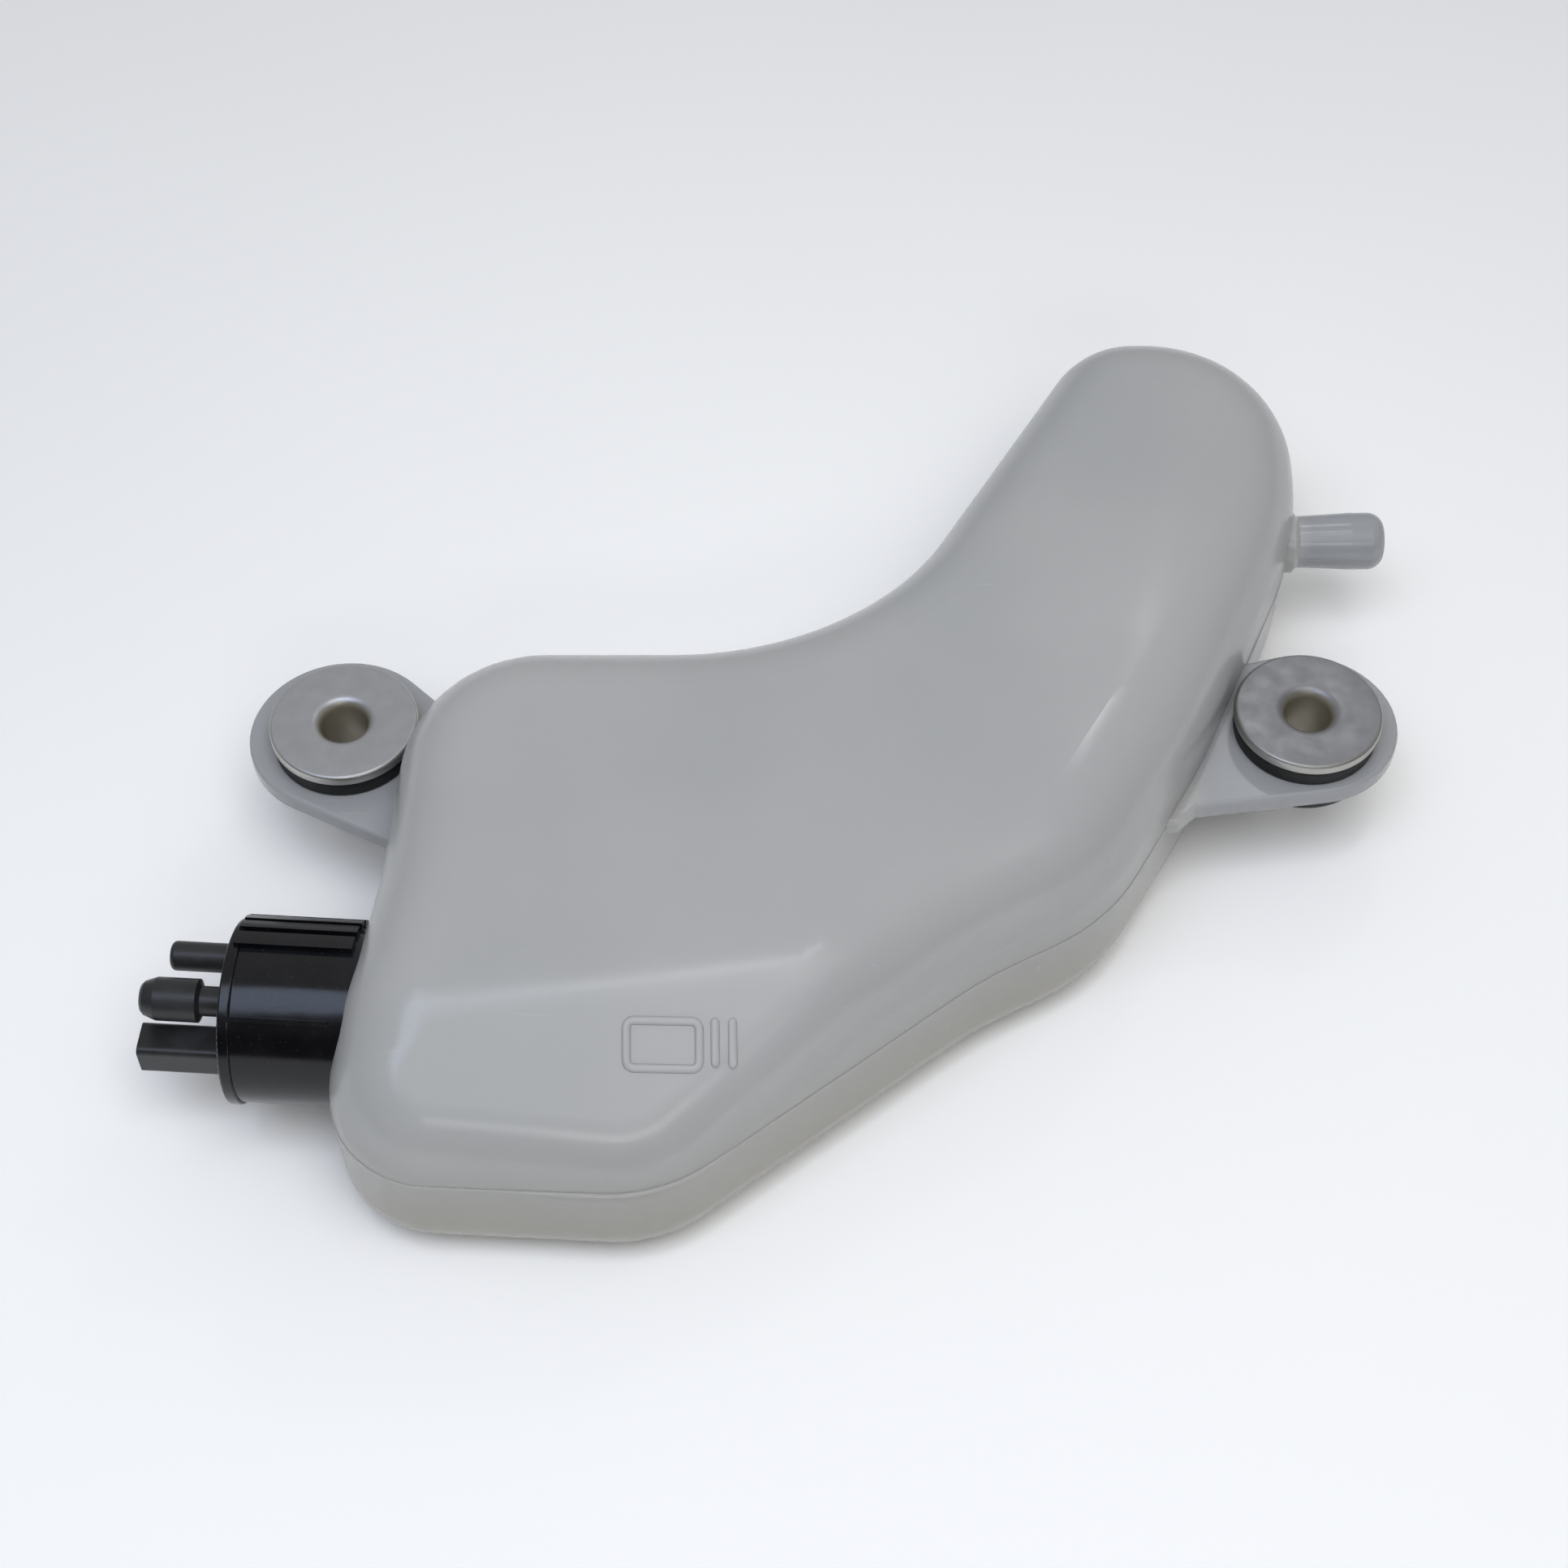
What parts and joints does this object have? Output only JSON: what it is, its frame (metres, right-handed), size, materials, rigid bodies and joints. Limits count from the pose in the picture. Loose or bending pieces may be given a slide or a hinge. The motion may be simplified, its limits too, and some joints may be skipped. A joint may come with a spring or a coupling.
{
  "type": "motorcycle fuel tank",
  "caption": "Small flat blow-moulded fuel tank with two rubber-mounted ears, a hose nipple and an electric pump module with outlet, vent nipple and plug socket.",
  "frame": {"origin": "on the flat back face, below the middle between the two mounting ears", "axes": "+X from the left ear to the right ear, +Y up the arm of the tank, +Z from the back face to the front face, along the mounting bolts"},
  "size_m": [0.1773, 0.1435, 0.036],
  "materials": {
    "tank": "satin, natural translucent polyethylene",
    "black_plastic": "glossy moulded black",
    "cover_plastic": "moulded black, fine texture",
    "inner_plastic": "natural acetal",
    "grommet_rubber": "matt black",
    "seal_rubber": "fuel-proof rubber",
    "collar_steel": "zinc plated",
    "can_steel": "plated",
    "shaft_steel": "ground",
    "magnet": "ferrite",
    "core": "coated laminations",
    "copper": "enamelled copper",
    "brass": "stamped brass",
    "carbon": "carbon",
    "bronze": "sintered bronze",
    "spring_steel": "spring wire"
  },
  "bodies": {
    "tank": {"tank_shell": "tank", "left_grommet": "grommet_rubber", "right_grommet": "grommet_rubber", "left_collar": "collar_steel", "right_collar": "collar_steel", "pump_housing": "black_plastic", "pump_end_cover": "cover_plastic", "port_seal": "seal_rubber", "cover_seal": "seal_rubber", "terminal_feed": "brass", "terminal_ground": "brass", "valve_seat": "inner_plastic", "valve_spring": "spring_steel", "motor_can": "can_steel", "magnet_front": "magnet", "magnet_back": "magnet", "brush_plate": "inner_plastic", "brush_leaf_front": "brass", "brush_leaf_back": "brass", "brush_front": "carbon", "brush_back": "carbon", "brush_strap": "brass", "bearing_outer": "bronze", "bearing_inner": "bronze", "chamber_plate": "inner_plastic", "inlet_strainer": "inner_plastic"},
    "rotor": {"motor_shaft": "shaft_steel", "armature_stack": "core", "armature_winding": "copper", "commutator": "copper", "impeller": "inner_plastic"},
    "valve": {"valve_plunger": "inner_plastic"}
  },
  "joints": [
    {"name": "rotor_spin", "type": "hinge", "parent": "tank", "child": "rotor", "pos_m": [-0.04919, -0.03315, 0.018], "axis": [-0.9969, 0.0785, 0], "continuous": true},
    {"name": "valve_lift", "type": "slide", "parent": "tank", "child": "valve", "axis": [-0.9969, 0.0785, 0], "range_m": [0, 0.0012], "stiffness_N_per_m": 60, "springref_m": -0.0005, "deforming": ["valve_spring"]}
  ]
}
